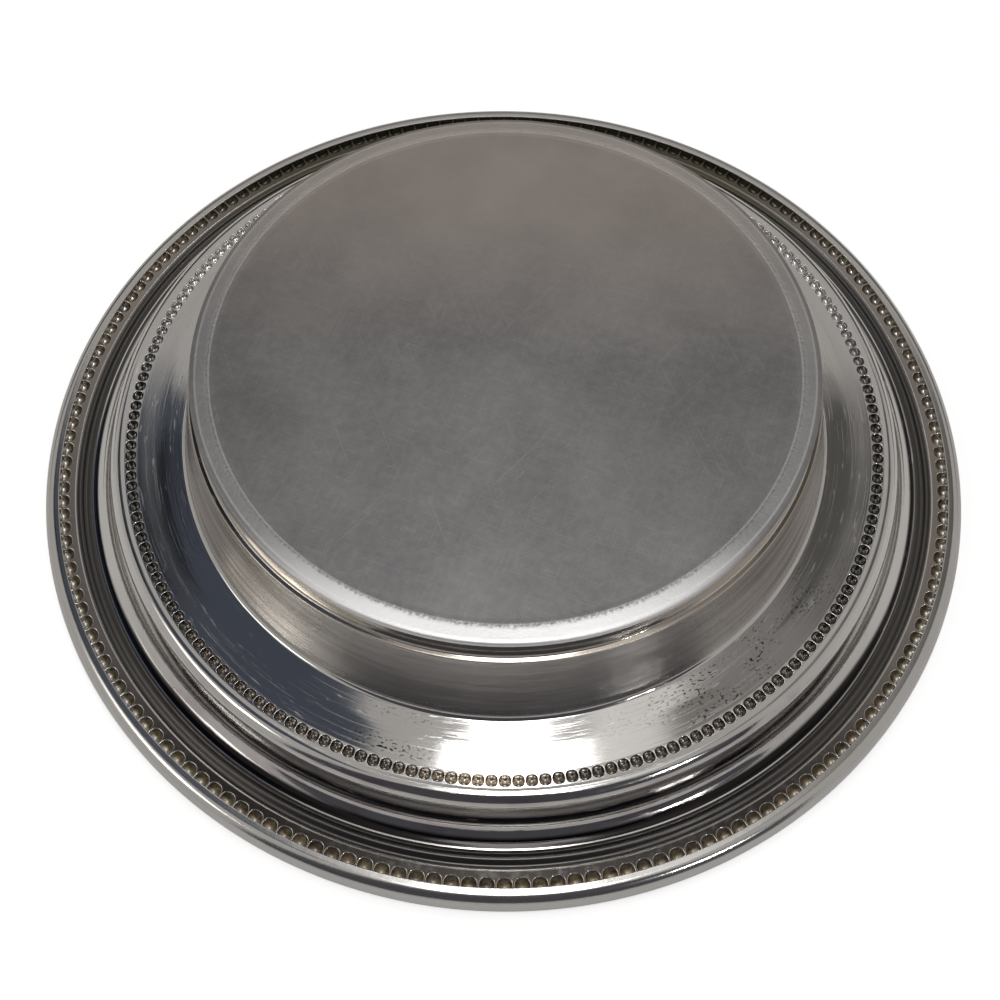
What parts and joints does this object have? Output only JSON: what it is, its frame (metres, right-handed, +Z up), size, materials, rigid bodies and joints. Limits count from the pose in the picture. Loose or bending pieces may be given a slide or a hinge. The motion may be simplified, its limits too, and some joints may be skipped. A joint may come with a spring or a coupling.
{
  "type": "serving dish",
  "caption": "Round deep serving dish of silver-plated sheet metal with a recessed base, a stepped ledge, pressed bead borders, reeding and a rolled edge.",
  "frame": {"origin": "centre of the standing ring, on the plane that the dish stands on", "axes": "+Z up along the axis of the dish, open side up; X and Y are free, because the dish is round"},
  "size_m": [0.254, 0.254, 0.049],
  "materials": {
    "body_plate": "silver plate, satin underneath the base and bright on the ledge and cove, with fine scratches",
    "soft_solder": "dull grey soft solder, dark with tarnish",
    "border_plate": "silver plate with brown tarnish in the hollows of the beads",
    "wire": "plain drawn wire, hidden in the rolled edge"
  },
  "bodies": {
    "root": {"dish_body": "body_plate", "border_solder": "soft_solder", "beaded_border": "border_plate", "edge_wire": "wire"}
  },
  "joints": []
}
